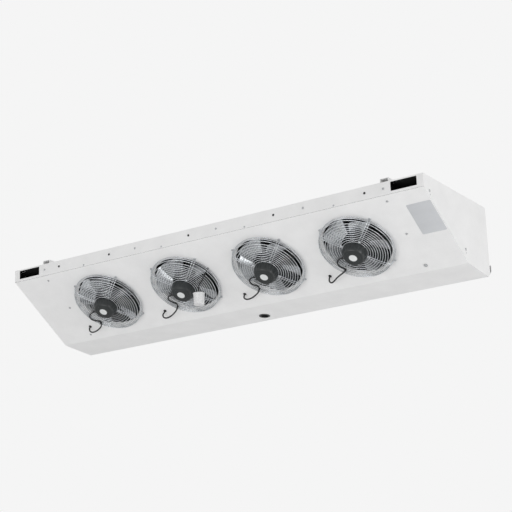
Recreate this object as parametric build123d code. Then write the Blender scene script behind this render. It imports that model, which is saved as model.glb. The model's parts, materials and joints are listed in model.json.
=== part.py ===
from build123d import *
from math import cos, pi, radians, sin, tan
import os

# Ceiling-hung slim unit cooler for cold rooms. Millimetres, +Z up.
# Z = 0 is the ceiling, X runs along the unit, the fans look down and towards -Y.

# ---------------------------------------------------------------- driving sizes
length = 1900.0            # over the end covers
cover_depth = 502.0        # front strip to the back of the end covers
sheet = 1.5                # painted casing sheet
strip_height = 50.0
panel_angle = 33.0         # fan panel below the horizontal
floor_angle = 4.8          # fall of the tray floor
floor_length = 168.0
tail_inset = 12.5          # rear edge of the floor in front of the covers' back edge
tail_turn = 8.0            # turned-up end of the floor, which the lip is welded to
lip_reach = 17.0           # tray lip behind the end covers
lip_rise = 26.0            # height of the sloped corner of the tray
lip_height = 24.0          # upright part of the lip
back_lip = 20.0            # turned-down back edge of the top plate
bend_radius = 4.0

window_width = 105.0       # pipe and cable openings in the front strip
window_height = 34.5
window_end = 26.0          # from the end of the unit
window_top = 5.5           # from the top plate

rail_width = 62.0          # hat-section hanging rails
rail_crown = 34.0
rail_height = 18.0
rail_length = 480.0
rail_sheet = 2.0
rail_inset = 160.0         # rail centre from the end of the unit
hanger_spacing = 400.0     # ceiling bolts, front to back
hanger_hole = 11.0

fan_count = 4
fan_pitch = 389.0
fan_offset = 0.5           # fan centre below the middle of the slope
mouth_bore = 262.0         # inlet ring in the panel
mouth_depth = 18.0
mouth_rim = 5.0

impeller_diameter = 254.0
blade_count = 5
blade_sheet = 1.6
blade_root_pitch = 34.0    # blade angle to the fan's plane at the hub
blade_tip_pitch = 21.0
blade_root_chord = 74.0
blade_tip_chord = 122.0
blade_lift = -8.0          # blade middle above the panel face
hub_diameter = 66.0
hub_height = 26.0
shaft_diameter = 8.0
running_clearance = 0.05

guard_diameter = 293.0
guard_wire = 2.5
guard_inner_ring = 49.0    # radius of the ring under the motor
guard_ring_count = 7
guard_ring_sides = 24
guard_foot_height = 8.0    # lowest ring above the panel
guard_dome = 28.0          # rise from the lowest ring to the crown
guard_foot_circle = 149.0  # radius of the guard screws
arm_gap = 9.0              # between the two wires of an arm

motor_flange = 100.0
motor_flange_thickness = 8.0
motor_body_base = 94.0
motor_face = 76.0
motor_ear_circle = 53.5
motor_ear_thickness = 6.0
motor_height = 34.0        # guard crown to face
motor_rear_depth = 12.0
motor_ear = 6.0            # radius of the four ears
shaft_bore_depth = 16.0

cable_diameter = 6.0
grommet_right = -180.0     # motor cable hole from the fan centre, along the panel
grommet_up = -117.0        # and up the slope
grommet_neck = 11.0        # hole in the panel
grommet_flange = 16.0
grommet_lip = 2.0

coil_rows = 3
coil_tubes_high = 6
row_pitch = 33.0
tube_pitch = 38.0
tube_diameter = 12.0
fin_sheet = 1.0
fin_spacing = 26.0
coil_back_gap = 5.0        # coil to the plane of the end covers' back edge
coil_top_gap = 3.0
partition_sheet = 2.0
flange_width = 28.0
tray_end_height = 44.0     # rear edge of the plates that close the tray's ends
baffle_sheet = 1.2
fit_gap = 0.3              # between loose-laid neighbours

drain_diameter = 38.0
drain_bore = 32.0
drain_flange = 44.0
drain_down = 110.0         # along the floor, from the fold
drain_right = -8.0

plate_width = 98.0         # rating plate
plate_height = 145.0
plate_end = 54.0           # its centre from the end of the unit
plate_down = 137.0

cup_top_diameter = 56.0
cup_bottom_diameter = 45.0
cup_height = 46.0
cup_wall = 1.5
probe_cable_diameter = 5.0
probe_diameter = 9.0
probe_length = 64.0
probe_hole = (131.5, 46.5)  # grommet of the probe cable, from the second fan's centre
probe_neck = 6.6
probe_lip = 9.0

terminal_box_size = (100.0, 150.0, 72.0)
terminal_wall = 2.5
header_diameter = 28.0
header_bore = 25.0
liquid_diameter = 12.0
feeder_diameter = 5.0

screw_head = 9.0
screw_shank = 4.2
screw_head_height = 2.6
screw_length = 9.0
hole_clearance = 0.3

# ---------------------------------------------------------------- worked-out places
half = length / 2
top = -rail_height
front = -cover_depth / 2
back = cover_depth / 2
fold_y = front
fold_z = top - strip_height
tail_y = back - tail_inset
heel_y = tail_y - floor_length * cos(radians(floor_angle))
panel_length = (heel_y - fold_y) / cos(radians(panel_angle))
fan_down = panel_length / 2 + fan_offset
heel_z = fold_z - panel_length * sin(radians(panel_angle))
tail_z = heel_z - floor_length * sin(radians(floor_angle))
lip_y = back + lip_reach
lip_z = tail_z + lip_rise
rail_x = half - rail_inset
partition_x = rail_x + flange_width / 2
coil_depth = coil_rows * row_pitch
coil_height = coil_tubes_high * tube_pitch
coil_back = back - coil_back_gap
coil_front = coil_back - coil_depth
coil_top = top - sheet - coil_top_gap
coil_bottom = coil_top - coil_height
fan_x = [(index - (fan_count - 1) / 2) * fan_pitch for index in range(fan_count)]
impeller_radius = impeller_diameter / 2
mouth_radius = mouth_bore / 2
guard_radius = guard_diameter / 2
motor_seat = guard_foot_height + guard_dome + guard_wire / 2
motor_top = motor_seat + motor_height


def panel_point(x, up, out):
    """A point given along the panel, up its slope from the fans' line, and out of its face."""
    slope = radians(panel_angle)
    down = fan_down - up
    y = fold_y + down * cos(slope) - out * sin(slope)
    z = fold_z - down * sin(slope) - out * cos(slope)
    return Vector(x, y, z)


def panel_plane(x, up=0.0, out=0.0):
    """Plane on the fan panel: its X along the unit, its Y up the slope, its Z out of the face."""
    slope = radians(panel_angle)
    return Plane(panel_point(x, up, out), x_dir=(1, 0, 0), z_dir=(0, -sin(slope), -cos(slope)))


def floor_plane(x, along):
    """Plane on the tray floor, along being the distance behind the fold under the panel."""
    fall = radians(floor_angle)
    origin = (x, heel_y + along * cos(fall), heel_z - along * sin(fall))
    return Plane(origin, x_dir=(1, 0, 0), z_dir=(0, -sin(fall), -cos(fall)))


def side_plane(x):
    """Cross-section plane: its X is the part's Y, its Y is the part's Z, its Z points to +X."""
    return Plane((x, 0, 0), x_dir=(0, 1, 0), z_dir=(1, 0, 0))


def disc(plane, diameter, low, high):
    """Round bar on a plane between two heights."""
    return plane * Pos(0, 0, (low + high) / 2) * Cylinder(diameter / 2, high - low)


def screw(plane, head=screw_head, shank=screw_shank, depth=screw_length, height=screw_head_height):
    """Pan-head screw whose head sits on the plane and whose shank goes in behind it."""
    return disc(plane, head, 0, height) + disc(plane, shank, -depth, 0)


def screw_hole(plane, shank=screw_shank, reach=12.0):
    """Clearance hole for a screw on this plane."""
    return disc(plane, shank + hole_clearance, -reach, reach)


def bent_sheet(points, x_low, x_high, thickness, side, radius=bend_radius):
    """Sheet folded along a cross-section line and run from one x to another."""
    line = FilletPolyline(*points, radius=radius)
    outline = make_face(offset(line, amount=thickness, side=side))
    return extrude(side_plane(x_low) * outline, x_high - x_low)


def flat_profile(points, x_low, thickness):
    """Flat plate across the unit with a polygon outline."""
    outline = make_face(Polyline(*points, close=True))
    return extrude(side_plane(x_low) * outline, thickness)


def save(node, shape):
    """Write one sub-part."""
    shape.label = node
    export_step(shape, f"parts/{node}.step")


os.makedirs("parts", exist_ok=True)

# ---------------------------------------------------------------- fastener places
hole_step = fan_pitch / 3
strip_mid = top - strip_height / 2
strip_screw_x = [x + side * hole_step for x in fan_x for side in (-1, 1)] + [-rail_x, rail_x]
strip_planes = [
    Plane((x, front, strip_mid), x_dir=(1, 0, 0), z_dir=(0, -1, 0)) for x in strip_screw_x
]
fold_planes = [
    Plane((x, front, fold_z + 6.0), x_dir=(1, 0, 0), z_dir=(0, -1, 0)) for x in fan_x
]
panel_screw_down = [29.0, panel_length / 2 - 2.0, panel_length - 32.0]
panel_screw_up = [fan_down - down for down in panel_screw_down]
panel_screw_planes = [
    panel_plane(side * rail_x, up) for side in (-1, 1) for up in panel_screw_up
]
cover_screw_points = [(front + 43.0, top - 56.0), (heel_y - 17.0, heel_z + 49.0)]
cover_planes = [
    Plane((side * half, y, z), x_dir=(0, side, 0), z_dir=(side, 0, 0))
    for side in (-1, 1) for y, z in cover_screw_points
]
guard_foot_offset = guard_foot_circle * cos(radians(45))
guard_feet = [(x * guard_foot_offset, y * guard_foot_offset) for x in (-1, 1) for y in (-1, 1)]
rail_bolt_x = rail_width / 4 + rail_crown / 4
rail_bolt_y = [side * (rail_length / 2 - 22.0) for side in (-1, 1)]
rail_bolt_planes = [
    Plane((side * rail_x + edge * rail_bolt_x, y, top + rail_sheet))
    for side in (-1, 1) for edge in (-1, 1) for y in rail_bolt_y
]

# ---------------------------------------------------------------- top plate and strips
inner_half = half - sheet
plate_front = front + sheet
top_plate = Pos(0, (plate_front + back) / 2, top - sheet / 2) * Box(2 * inner_half, back - plate_front, sheet)
for plane in rail_bolt_planes:
    top_plate -= screw_hole(plane)
rear_strip_place = Pos(0, back - sheet / 2, top - sheet - back_lip / 2)
rear_strip = rear_strip_place * Box(2 * inner_half, sheet, back_lip)
save("top_casing", Compound(children=[top_plate, rear_strip]))

window_z = top - window_top - window_height / 2
window_x = half - window_end - window_width / 2
strip_joint = window_x - window_width / 2 - 7.0
middle_strip = Pos(0, front + sheet / 2, strip_mid) * Box(2 * strip_joint, sheet, strip_height)
for plane in strip_planes + fold_planes:
    middle_strip -= screw_hole(plane)
end_strip_width = inner_half - strip_joint
end_strips = []
for side in (-1, 1):
    end_strip_place = Pos(side * (strip_joint + end_strip_width / 2), front + sheet / 2, strip_mid)
    window = Pos(side * window_x, front, window_z) * Box(window_width, 6 * sheet, window_height)
    end_strips.append(end_strip_place * Box(end_strip_width, sheet, strip_height) - window)
save("front_strip", Compound(children=[middle_strip] + end_strips))

# ---------------------------------------------------------------- fan panel and drip tray
flange_y = front + sheet
flange_z = fold_z - sheet * tan(radians(panel_angle))
panel_edge = (front + sheet, top - window_top - window_height - 2 * sheet)
lip_slope = Vector(lip_y - tail_y, lip_z - tail_z).normalized()
turn_end = (tail_y + tail_turn * lip_slope.X, tail_z + tail_turn * lip_slope.Y)
tray_line = [panel_edge, (flange_y, flange_z), (heel_y, heel_z), (tail_y, tail_z), turn_end]
lip_line = [turn_end, (lip_y, lip_z), (lip_y, lip_z + lip_height)]
lip = bent_sheet(lip_line, -inner_half, inner_half, sheet, Side.LEFT)
tray = bent_sheet(tray_line, -inner_half, inner_half, sheet, Side.LEFT)
rolled = [(1.0, 0.0), (0.56, 0.11), (0.2, 0.4), (0.0, 0.88)]
throat = [(mouth_radius + across * mouth_rim, -deep * mouth_rim) for across, deep in rolled]
ring_outline = [(throat[0][0] + 0.5, 0)] + throat + [
    (mouth_radius, -mouth_depth), (mouth_radius + sheet, -mouth_depth),
    (mouth_radius + sheet, -mouth_rim), (throat[2][0] + sheet, -0.4 * mouth_rim - 0.7 * sheet),
    (throat[0][0] + 0.5, -sheet),
]
mouth_ring = revolve(Plane.XZ * make_face(Polyline(*ring_outline, close=True)), Axis.Z)
for x in fan_x:
    mouth = panel_plane(x)
    tray -= disc(mouth, mouth_bore + 2 * mouth_rim, -10, 10)
    tray += mouth * mouth_ring
    tray -= disc(panel_plane(x + grommet_right, grommet_up), grommet_neck + hole_clearance, -10, 10)
    for right, up in guard_feet:
        tray -= screw_hole(panel_plane(x + right, up))
tray -= disc(panel_plane(fan_x[1] + probe_hole[0], probe_hole[1]), probe_neck + hole_clearance, -10, 10)
drain_place = floor_plane(drain_right, drain_down)
tray -= disc(drain_place, drain_diameter + hole_clearance, -10, 10)
for plane in strip_planes + fold_planes + panel_screw_planes:
    tray -= screw_hole(plane)
save("fan_panel_tray", Compound(children=[tray, lip]))

# ---------------------------------------------------------------- end covers
cover_line = [
    (front, top), (front, fold_z), (heel_y, heel_z), (tail_y, tail_z), (back, tail_z + lip_rise / 2),
    (back, top),
]
inner_z = top - sheet - fit_gap
for side, name in ((-1, "end_cover_left"), (1, "end_cover_right")):
    cover = flat_profile(cover_line, half - sheet if side > 0 else -half, sheet)
    flange_x = side * (half - sheet - flange_width / 2)
    top_flange = Box(flange_width, cover_depth - 60, sheet)
    cover += Pos(flange_x, 0, inner_z - sheet / 2) * top_flange
    back_flange_height = cover_depth / 2 - 60
    back_z = inner_z - back_lip - back_flange_height / 2
    cover += Pos(flange_x, back - 2.5 * sheet, back_z) * Box(flange_width, sheet, back_flange_height)
    for plane in cover_planes:
        cover -= screw_hole(plane)
    save(name, cover)

# ---------------------------------------------------------------- partitions and baffles
skin = sheet + fit_gap
inner_front = front + 2 * sheet + fit_gap


def inside_outline(rear):
    """Cross-section of the space under the top plate and above the tray, up to a rear plane."""
    slope = radians(panel_angle)
    first = panel_point(0, fan_down - 12.0, -skin)
    heel = panel_point(0, fan_down - panel_length + 6.0, -skin)
    floor_fall = tan(radians(floor_angle))
    rear_z = heel_z - (rear - heel_y) * floor_fall + skin / cos(radians(floor_angle))
    second = (heel.Y + 12.0, heel_z - 12.0 * floor_fall + skin + 1.0)
    start = (inner_front, first.Z + (first.Y - inner_front) * tan(slope) + bend_radius)
    points = [(inner_front, top - skin), start, (heel.Y, heel.Z), second]
    if rear > tail_y:
        tail_step = (rear - tail_y) * lip_rise / (lip_y - tail_y)
        points += [(tail_y - 4.0, rear_z + 1.0), (rear, tail_z + tail_step + 2.5 * skin)]
    else:
        points += [(rear, rear_z + 1.0)]
    return points + [(rear, top - skin)]


tray_end_line = inside_outline(coil_back)[1:-1]
tray_end_line += [(coil_back, tray_end_line[-1][1] + tray_end_height)]
tray_end_line += [(front + 50.0, fold_z + 8.0)]
tray_ends = []
for side in (-1, 1):
    tray_end = flat_profile(tray_end_line, inner_half - sheet if side > 0 else -inner_half, sheet)
    for plane in cover_planes:
        tray_end -= screw_hole(plane)
    tray_ends.append(tray_end)
save("tray_ends", Compound(children=tray_ends))

coil_centres = [
    (coil_front + (row + 0.5) * row_pitch, coil_bottom + (high + 0.5 + 0.25 * (-1) ** row) * tube_pitch)
    for row in range(coil_rows) for high in range(coil_tubes_high)
]
heater_diameter = 8.5
heater_y = coil_front - heater_diameter / 2 - 2.0
heater_levels = [coil_bottom + 52.0, coil_bottom + 168.0]
tray_heater_y = coil_front + 0.72 * coil_depth
tray_heater_z = coil_bottom - heater_diameter / 2 - 2.0
heater_places = [(heater_y, level) for level in heater_levels]
heater_places += [(tray_heater_y, tray_heater_z)]
slope_strip = [
    panel_point(0, fan_down - 18.0, -skin), panel_point(0, fan_down - panel_length + 16.0, -skin),
    panel_point(0, fan_down - panel_length + 16.0, -skin - partition_sheet),
    panel_point(0, fan_down - 18.0, -skin - partition_sheet),
]
slope_flange = [(corner.Y, corner.Z) for corner in slope_strip]
for side, name in ((-1, "partition_left"), (1, "partition_right")):
    plate_x = side * partition_x - (partition_sheet if side > 0 else 0)
    partition = flat_profile(inside_outline(coil_back), plate_x, partition_sheet)
    flange_x = side * rail_x - flange_width / 2
    partition += flat_profile(slope_flange, flange_x, flange_width)
    front_flange = Box(flange_width, partition_sheet, strip_height / 2)
    front_y = inner_front + partition_sheet / 2
    partition += Pos(side * rail_x, front_y, strip_mid + 4) * front_flange
    top_flange = Box(flange_width, cover_depth - 40, partition_sheet)
    partition += Pos(side * rail_x, -10, top - skin - partition_sheet / 2) * top_flange
    for y, z in coil_centres + heater_places:
        bore = (tube_diameter if (y, z) in coil_centres else heater_diameter) / 2 + fit_gap
        partition -= Pos(side * partition_x, y, z) * Rot(0, 90, 0) * Cylinder(bore, 6 * partition_sheet)
    for plane in strip_planes + panel_screw_planes:
        partition -= screw_hole(plane)
    save(name, partition)

baffle_rear = coil_front - 3.0 - heater_diameter - 4.0
for index in range(fan_count - 1):
    baffle_x = (fan_x[index] + fan_x[index + 1]) / 2
    baffle = flat_profile(inside_outline(baffle_rear), baffle_x - baffle_sheet / 2, baffle_sheet)
    baffle += flat_profile(slope_flange, baffle_x - flange_width / 2, flange_width / 2)
    top_flange = Box(flange_width / 2, baffle_rear - front - 60, baffle_sheet)
    flange_place = (baffle_x - flange_width / 4, (baffle_rear + front) / 2, top - skin - baffle_sheet / 2)
    baffle += Pos(*flange_place) * top_flange
    save(f"fan_baffle_{index + 1}", baffle)

# ---------------------------------------------------------------- coil
fin_reach = partition_x - 2 * partition_sheet - fin_spacing / 2
fin_count = int(2 * fin_reach // fin_spacing) + 1
fin_start = -(fin_count - 1) * fin_spacing / 2
fin_y = (coil_front + coil_back) / 2
fin_z = (coil_top + coil_bottom) / 2
fins = Compound(children=[
    Pos(fin_start + index * fin_spacing, fin_y, fin_z) * Box(fin_sheet, coil_depth, coil_height)
    for index in range(fin_count)
])
save("coil_fins", fins)

tube_end = partition_x + 14.0
bend_reach = tube_end + tube_pitch / 2
circuits = []
for row in range(coil_rows):
    levels = [place for place in coil_centres if abs(place[0] - coil_centres[row * coil_tubes_high][0]) < 1]
    y = levels[0][0]
    route = [(-tube_end, y, levels[0][1])]
    for index, (_, z) in enumerate(levels):
        far = 1 if index % 2 == 0 else -1
        last = index == coil_tubes_high - 1
        if not last:
            route += [(far * bend_reach, y, z), (far * bend_reach, y, z + tube_pitch)]
        else:
            route += [(far * tube_end, y, z)]
    path = FilletPolyline(*route, radius=tube_pitch / 2 - 0.05)
    circuits.append(sweep(path.location_at(0) * Circle(tube_diameter / 2), path=path))
save("coil_tubes", Compound(children=circuits))
print("circuits", [round(circuit.volume) for circuit in circuits])

# ---------------------------------------------------------------- coil connections
top_level = max(z for _, z in coil_centres)
row_places = [(coil_front + (row + 0.5) * row_pitch) for row in range(coil_rows)]
row_shift = [0.25 * (-1) ** row * tube_pitch for row in range(coil_rows)]
row_tops = [coil_bottom + (coil_tubes_high - 0.5) * tube_pitch + shift for shift in row_shift]
row_feeds = [coil_bottom + 0.5 * tube_pitch + shift for shift in row_shift]
header_x = -tube_end - header_diameter / 2
header_z = (min(row_tops) + max(row_tops)) / 2
header_mouth = front + 62.0
header_tail = coil_back - 6.0
header_length = header_tail - header_mouth
header_centre = (header_x, (header_tail + header_mouth) / 2, header_z)
header = Pos(*header_centre) * Rot(90, 0, 0) * Cylinder(header_diameter / 2, header_length)
for y, z in zip(row_places, row_tops):
    stub_length = header_diameter / 2
    header += Pos(-tube_end - stub_length / 2, y, z) * Rot(0, 90, 0) * Cylinder(tube_diameter / 2, stub_length)
bore_shift = Pos(header_x, header_centre[1] - 2 * sheet, header_z)
header -= bore_shift * Rot(90, 0, 0) * Cylinder(header_bore / 2, header_length)
save("suction_header", header)

distributor_x = header_x - 42.0
distributor_y = coil_front - 80.0
distributor_foot = coil_bottom + 62.0
distributor_height = 38.0
distributor_profile = Plane.XZ * make_face(Polyline(
    (0, 0), (13, 0), (13, 10), (liquid_diameter / 2 + 2, distributor_height - 8),
    (liquid_diameter / 2 + 2, distributor_height), (0, distributor_height), close=True,
))
distributor = Pos(distributor_x, distributor_y, distributor_foot) * revolve(distributor_profile, Axis.Z)
feeders = []
for index, (y, z) in enumerate(zip(row_places, row_feeds)):
    offset_y = (index - 1) * 7.5
    foot = (distributor_x, distributor_y + offset_y, distributor_foot)
    drop = 14.0 + 7.0 * index
    route = [
        foot, (foot[0], foot[1], foot[2] - drop), (foot[0] + 4, y - 20, z - 2), (-tube_end - 12, y, z),
        (-tube_end, y, z),
    ]
    path = FilletPolyline(*route, radius=[9.0, 9.0, 4.0])
    feeders.append(sweep(path.location_at(0) * Circle(feeder_diameter / 2), path=path))
save("distributor", distributor)
save("feeder_tubes", Compound(children=feeders))
liquid_route = [
    (distributor_x, distributor_y, distributor_foot + distributor_height),
    (distributor_x, distributor_y, header_z), (distributor_x, header_mouth, header_z),
]
liquid_path = FilletPolyline(*liquid_route, radius=30.0)
save("liquid_line", sweep(liquid_path.location_at(0) * Circle(liquid_diameter / 2), path=liquid_path))

# ---------------------------------------------------------------- defrost heaters
heater_start = partition_x + 38.0
heater_turn = partition_x - 34.0
heater_route = [
    (heater_start, heater_y, heater_levels[0]), (-heater_turn, heater_y, heater_levels[0]),
    (-heater_turn, heater_y, heater_levels[1]), (heater_start, heater_y, heater_levels[1]),
]
heater_path = FilletPolyline(*heater_route, radius=(heater_levels[1] - heater_levels[0]) / 2 - 0.1)
save("coil_heater", sweep(heater_path.location_at(0) * Circle(heater_diameter / 2), path=heater_path))
tray_heater_length = heater_start + heater_turn
tray_heater_place = Pos((heater_start - heater_turn) / 2, tray_heater_y, tray_heater_z)
save("tray_heater", tray_heater_place * Rot(0, 90, 0) * Cylinder(heater_diameter / 2, tray_heater_length))

# ---------------------------------------------------------------- terminal box
box_x, box_y, box_z = terminal_box_size
box_place = Pos(partition_x + 12 + box_x / 2, 0, top - skin - box_z / 2)
terminal_box = box_place * (
    Box(box_x, box_y, box_z)
    - Pos(0, 0, -terminal_wall) * Box(box_x - 2 * terminal_wall, box_y - 2 * terminal_wall, box_z)
)
gland_spots = [(index - 1) * 36.0 for index in range(3)]
gland_thread = 16.0
gland_place = Pos(partition_x + 12 + box_x / 2, -box_y / 2, window_z)
for spot in gland_spots[:2]:
    terminal_box -= gland_place * Pos(spot + 18, 0, 0) * Rot(90, 0, 0) * Cylinder(gland_thread / 2, 20)
save("terminal_box", terminal_box)
lid = box_place * Pos(0, 0, -box_z / 2 - terminal_wall / 2) * Box(box_x, box_y, terminal_wall)
save("terminal_box_lid", lid)
block = box_place * Pos(0, 0, box_z / 2 - terminal_wall - 12) * Box(22, box_y - 40, 24)
for index in range(9):
    spot = (index - 4) * 11.0
    block -= box_place * Pos(0, spot, box_z / 2 - terminal_wall - 22) * Box(14, 5, 8)
save("terminal_block", block)
gland_shape = Rot(90, 0, 0) * (
    Cylinder(gland_thread / 2 - fit_gap / 2, 22)
    + Pos(0, 0, 7) * extrude(RegularPolygon(12, 6), 8)
)
gland_hole = Rot(90, 0, 0) * Cylinder(4, 60)
glands = Compound(children=[
    gland_place * Pos(spot + 18, 0, 0) * (gland_shape - gland_hole) for spot in gland_spots[:2]
])
save("cable_glands", glands)

# ---------------------------------------------------------------- hanging rails
crown = rail_crown / 2
foot = rail_width / 2
rail_outline = [
    (-foot, 0), (-crown + rail_sheet, 0), (-crown + rail_sheet, rail_height - rail_sheet),
    (crown - rail_sheet, rail_height - rail_sheet), (crown - rail_sheet, 0), (foot, 0), (foot, rail_sheet),
    (crown, rail_sheet), (crown, rail_height), (-crown, rail_height), (-crown, rail_sheet),
    (-foot, rail_sheet),
]
rail_profile = Plane.XZ * make_face(Polyline(*rail_outline, close=True))
for side, name in ((-1, "hanging_rail_left"), (1, "hanging_rail_right")):
    rail = Pos(side * rail_x, rail_length / 2, top) * extrude(rail_profile, rail_length)
    for y in (-hanger_spacing / 2, hanger_spacing / 2):
        rail -= Pos(side * rail_x, y, 0) * Cylinder(hanger_hole / 2, 4 * rail_sheet)
    for plane in rail_bolt_planes:
        rail -= screw_hole(plane)
    save(name, rail)

# ---------------------------------------------------------------- drain
bush = disc(drain_place, drain_flange, 0, 2.0) + disc(drain_place, drain_diameter, -14, 0)
bush -= disc(drain_place, drain_bore, -20, 20)
save("drain_bush", bush)
nut_low = -sheet - 7.0
nut = drain_place * Pos(0, 0, nut_low) * extrude(RegularPolygon(25.0, 6), 7.0)
nut -= disc(drain_place, drain_diameter + fit_gap, -20, 20)
save("drain_nut", nut)


# ---------------------------------------------------------------- guards
def guard_level(radius):
    """Height of the guard's dome over the panel at a distance from the fan's axis."""
    return guard_foot_height + guard_dome * (1 - (radius / guard_radius) ** 5) ** 0.5


def guard_ring(radius):
    """One wire ring with flat sides, lying at the dome's height."""
    ring = RegularPolygon(radius + guard_wire / 2, guard_ring_sides)
    ring -= RegularPolygon(radius - guard_wire / 2, guard_ring_sides)
    return Pos(0, 0, guard_level(radius) - guard_wire / 2) * extrude(ring, guard_wire)


outer_ring = guard_radius - guard_wire / 2
ring_step = (outer_ring - guard_inner_ring) / (guard_ring_count - 1)
ring_radii = [outer_ring - index * ring_step for index in range(guard_ring_count)]
arm_radii = [guard_inner_ring - guard_wire, ring_radii[3], ring_radii[1], outer_ring]
arm_line = [(radius, guard_level(radius)) for radius in arm_radii]
arm_line += [(guard_foot_circle - 1.5, guard_wire / 2), (guard_foot_circle + 3, guard_wire / 2)]
arm_outline = make_face(offset(Polyline(*arm_line), amount=guard_wire, side=Side.LEFT))
arm_wire = Pos(0, guard_wire / 2, -guard_wire / 2) * extrude(Plane.XZ * arm_outline, guard_wire)
eyelet = Pos(guard_foot_circle, 0, guard_wire / 2) * (
    Cylinder(arm_gap / 2 + guard_wire, guard_wire) - Cylinder(screw_shank / 2 + hole_clearance, 10)
)
guard = Sketch() + guard_ring(ring_radii[0])
for radius in ring_radii[1:]:
    guard += guard_ring(radius)
for quarter in range(4):
    turn = Rot(0, 0, 45 + 90 * quarter)
    for shift in (-arm_gap / 2, arm_gap / 2):
        guard += turn * Pos(0, shift, 0) * arm_wire
    guard += turn * eyelet
    guard -= turn * Pos(guard_foot_circle, 0, 0) * Cylinder(screw_shank / 2 + hole_clearance, 20)
for index, x in enumerate(fan_x):
    save(f"guard_{index + 1}", panel_plane(x) * guard)
print("guard solids", len(guard.solids()))

# ---------------------------------------------------------------- motors
rear = motor_seat - motor_rear_depth
body_low = motor_seat + motor_flange_thickness
motor_outline = [
    (0, rear), (motor_body_base / 2 - 7, rear), (motor_body_base / 2 - 7, motor_seat),
    (motor_flange / 2, motor_seat), (motor_flange / 2, body_low), (motor_body_base / 2, body_low + 1),
    (motor_face / 2 + 2.5, motor_top - 6), (motor_face / 2 + 0.5, motor_top - 2.5),
    (motor_face / 2 - 3, motor_top), (0, motor_top),
]
motor = revolve(Plane.XZ * make_face(Polyline(*motor_outline, close=True)), Axis.Z)
rib_reach = motor_flange / 2 - 1
for index in range(12):
    rib_turn = Rot(0, 0, 15 + 30 * index)
    rib = make_face(Polyline(
        (motor_face / 2 - 2, body_low - 1), (rib_reach, body_low - 1), (rib_reach, body_low + 3),
        (motor_face / 2 + 1.5, motor_top - 8), close=True,
    ))
    motor += rib_turn * Pos(0, 1, 0) * extrude(Plane.XZ * rib, 2)
ear_spot = motor_ear_circle
for quarter in range(4):
    turn = Rot(0, 0, 45 + 90 * quarter)
    ear_height = motor_seat + motor_ear_thickness / 2
    motor += turn * Pos(ear_spot, 0, ear_height) * Cylinder(motor_ear, motor_ear_thickness)
    motor += turn * Pos(ear_spot - 5, 0, ear_height) * Box(10, 2 * motor_ear, motor_ear_thickness)
    motor -= turn * Pos(ear_spot, 0, 0) * Cylinder(screw_shank / 2 + hole_clearance, 200)
cable_exit = (-60.0, -12.0, motor_seat + 5.0)
boss_length = 20.0
motor += Pos(cable_exit[0] + boss_length / 2, cable_exit[1], cable_exit[2]) * Rot(0, 90, 0) * Cylinder(
    cable_diameter / 2 + 1.8, boss_length)
shaft_radius = shaft_diameter / 2
motor -= Pos(0, 0, rear + shaft_bore_depth / 2) * Cylinder(shaft_radius + running_clearance, shaft_bore_depth)
for index, x in enumerate(fan_x):
    save(f"motor_{index + 1}", panel_plane(x) * motor)

# ---------------------------------------------------------------- impellers
hub_low = blade_lift - hub_height / 2
hub_outline = [
    (0, hub_low), (hub_diameter / 2 - 3, hub_low), (hub_diameter / 2, hub_low + 3),
    (hub_diameter / 2, hub_low + hub_height - 4), (hub_diameter / 2 - 4, hub_low + hub_height),
    (shaft_radius + 6, hub_low + hub_height), (shaft_radius + 6, hub_low + hub_height + 5),
    (shaft_radius, hub_low + hub_height + 5), (shaft_radius, rear + shaft_bore_depth - 1),
    (0, rear + shaft_bore_depth - 1),
]
impeller = revolve(Plane.XZ * make_face(Polyline(*hub_outline, close=True)), Axis.Z)
root_radius = hub_diameter / 2 - 3


def blade_section(radius, chord, pitch, bow):
    """Bowed sheet section of a blade, on a plane square to the radius."""
    tilt = radians(pitch)
    along = Vector(0, cos(tilt), sin(tilt))
    station = Plane((radius, 0, blade_lift), x_dir=along, z_dir=(1, 0, 0))
    outline = ThreePointArc((-chord / 2, 0), (0, bow), (chord / 2, 0))
    return station * make_face(offset(outline, amount=blade_sheet, side=Side.LEFT))


blade = loft([
    blade_section(root_radius, blade_root_chord, blade_root_pitch, 7.0),
    blade_section(impeller_radius + 2, blade_tip_chord, blade_tip_pitch, 9.0),
], ruled=True)
blade &= Pos(0, 0, blade_lift) * Cylinder(impeller_radius, 120)
for index in range(blade_count):
    impeller += Rot(0, 0, 360 / blade_count * index) * blade
for index, x in enumerate(fan_x):
    save(f"impeller_{index + 1}", panel_plane(x) * Rot(0, 0, 17 * index) * impeller)
print("impeller solids", len(impeller.solids()), "motor solids", len(motor.solids()))


# ---------------------------------------------------------------- cables
def cord_path(points):
    """Straight runs joined by arcs as large as the runs allow."""
    radii = []
    for before, corner, after in zip(points, points[1:], points[2:]):
        first = Vector(*corner) - Vector(*before)
        second = Vector(*after) - Vector(*corner)
        turn = radians(first.get_angle(second))
        radii.append(0.45 * min(first.length, second.length) / tan(turn / 2))
    return FilletPolyline(*points, radius=radii), radii


def cord(name, points, diameter):
    """Round cable along a route, with its radii and its volume printed."""
    path, radii = cord_path(points)
    tube = sweep(path.location_at(0) * Circle(diameter / 2), path=path)
    share = tube.volume / (path.length * pi * diameter ** 2 / 4)
    print(name, "length", round(path.length), "volume share", round(share, 4))
    print("   radii", [round(radius) for radius in radii])
    return path, tube


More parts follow.
